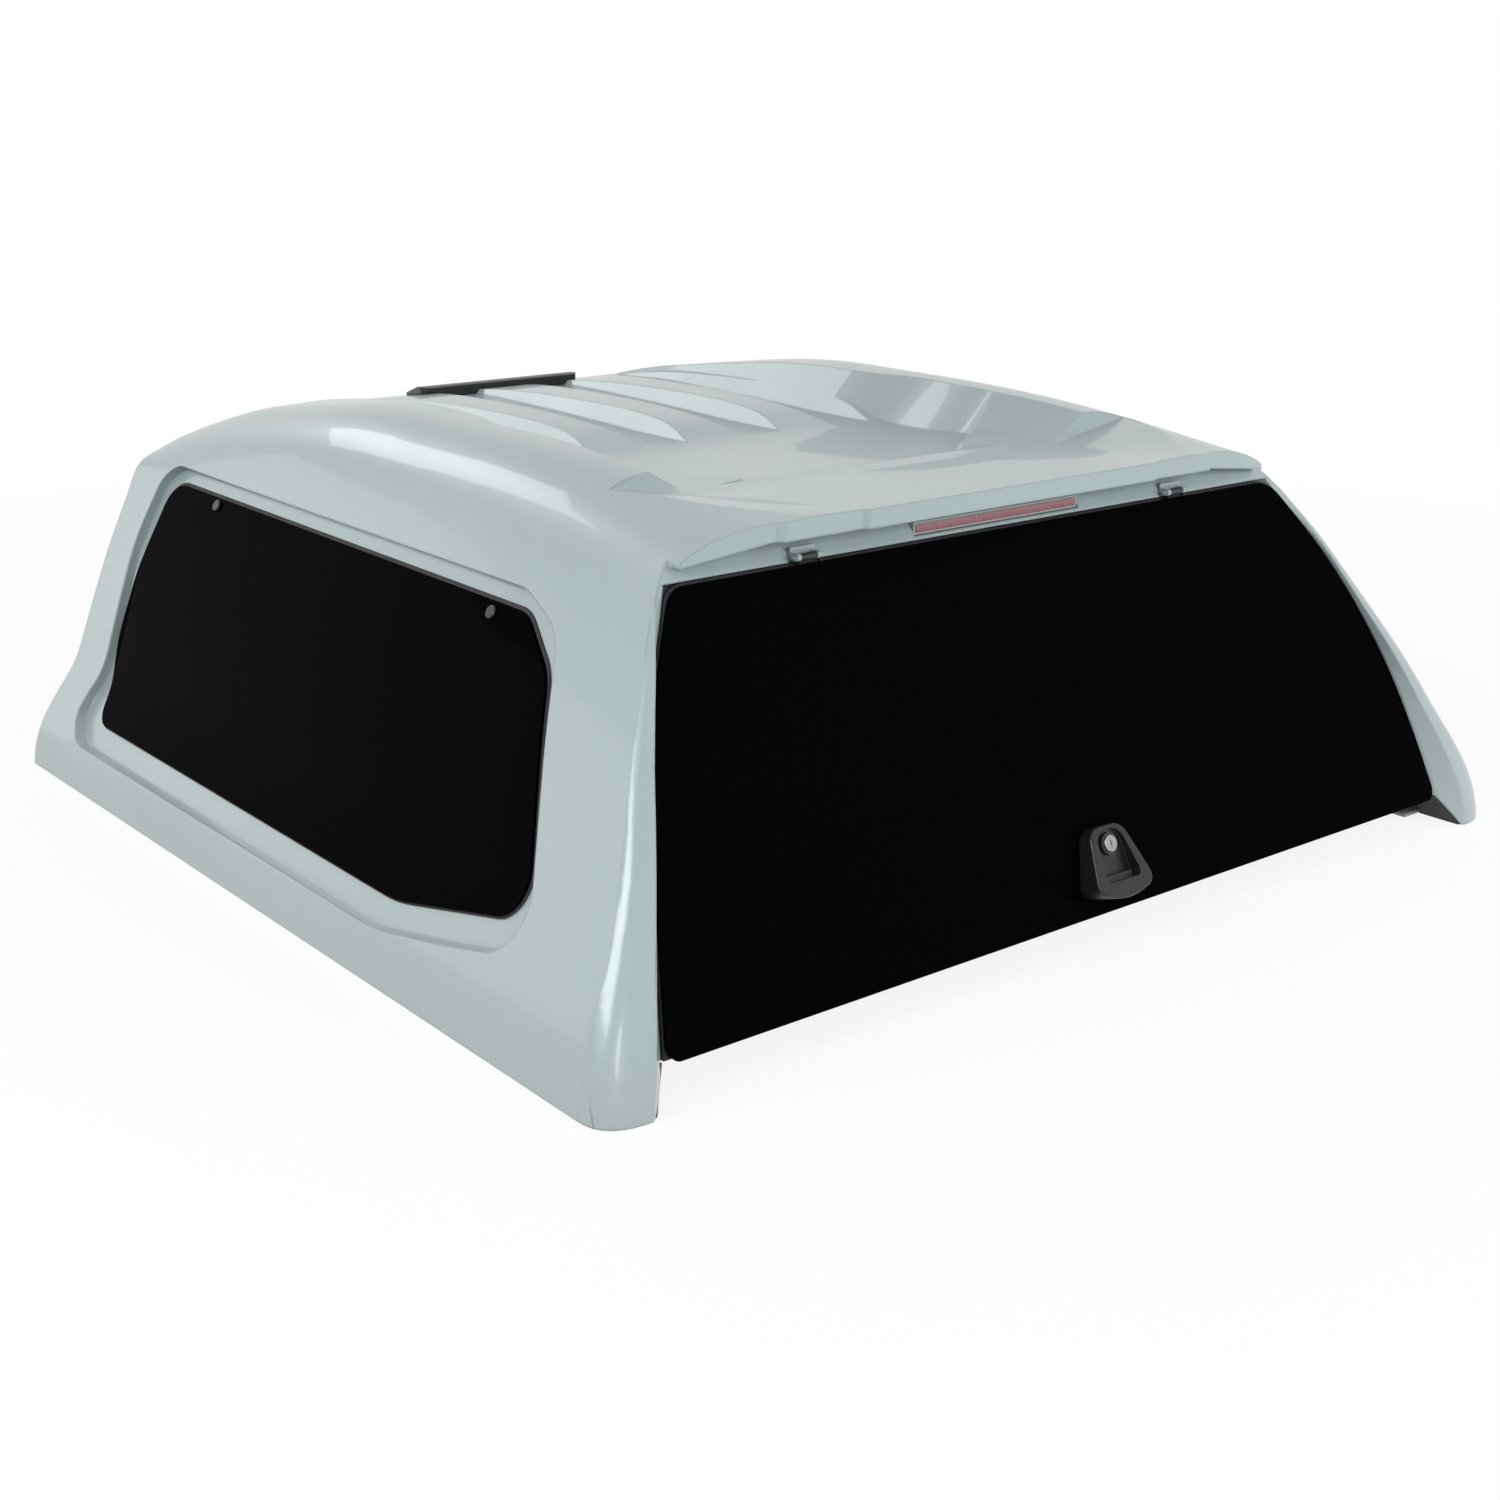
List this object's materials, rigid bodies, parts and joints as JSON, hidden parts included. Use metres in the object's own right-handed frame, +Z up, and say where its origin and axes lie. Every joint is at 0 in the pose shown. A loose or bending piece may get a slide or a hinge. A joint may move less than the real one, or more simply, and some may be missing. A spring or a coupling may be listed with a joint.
{
  "type": "pickup truck canopy",
  "caption": "Hard canopy for a pickup load bed: fluted roof with rear lip, dark side windows in moulded recesses and a frameless glass rear door that lifts on top hinges",
  "frame": {"origin": "centre of the base, on the plane that the lower edge rests on", "axes": "+X across to the right seen from behind, +Y to the front of the vehicle, +Z up"},
  "size_m": [1.6572, 1.6253, 0.6072],
  "materials": {
    "body_paint": "smooth glossy silver paint over moulded plastic",
    "tinted_glass": "very dark tinted safety glass, polished",
    "seal_rubber": "matte black rubber",
    "black_steel": "satin black coated steel",
    "pin_steel": "bright zinc plated steel",
    "black_plastic": "finely textured black moulded plastic",
    "lock_chrome": "polished chrome",
    "lamp_lens": "clear lens over red, polished",
    "lamp_tray": "grey moulded plastic"
  },
  "bodies": {
    "canopy": {"outer_shell": "body_paint", "door_seal": "seal_rubber", "front_glass": "tinted_glass", "front_seal": "seal_rubber", "brake_light_tray": "lamp_tray", "brake_light_lens": "lamp_lens", "roof_vent": "black_plastic", "side_glass_left": "tinted_glass", "side_seal_left": "seal_rubber", "side_cap_front_left": "black_plastic", "side_cap_rear_left": "black_plastic", "hinge_bracket_left": "black_steel", "hinge_pin_left": "pin_steel", "side_glass_right": "tinted_glass", "side_seal_right": "seal_rubber", "side_cap_front_right": "black_plastic", "side_cap_rear_right": "black_plastic", "hinge_bracket_right": "black_steel", "hinge_pin_right": "pin_steel", "foot_seal_left": "seal_rubber", "foot_seal_right": "seal_rubber"},
    "rear_door": {"rear_glass": "tinted_glass", "hinge_leaf_left": "black_steel", "hinge_leaf_right": "black_steel", "lock_housing": "black_plastic", "lock_collar": "black_steel", "latch_case": "black_plastic"},
    "button": {"lock_button": "lock_chrome"}
  },
  "joints": [
    {"name": "rear_door_hinge", "type": "hinge", "parent": "canopy", "child": "rear_door", "pos_m": [0, -0.5625, 0.5185], "axis": [-1, 0, 0], "range_deg": [0, 75]},
    {"name": "lock_button_slide", "type": "slide", "parent": "rear_door", "child": "button", "axis": [0, 0.9325, -0.3613], "range_m": [0, 0.005], "stiffness_N_per_m": 400, "springref_m": -0.004}
  ]
}
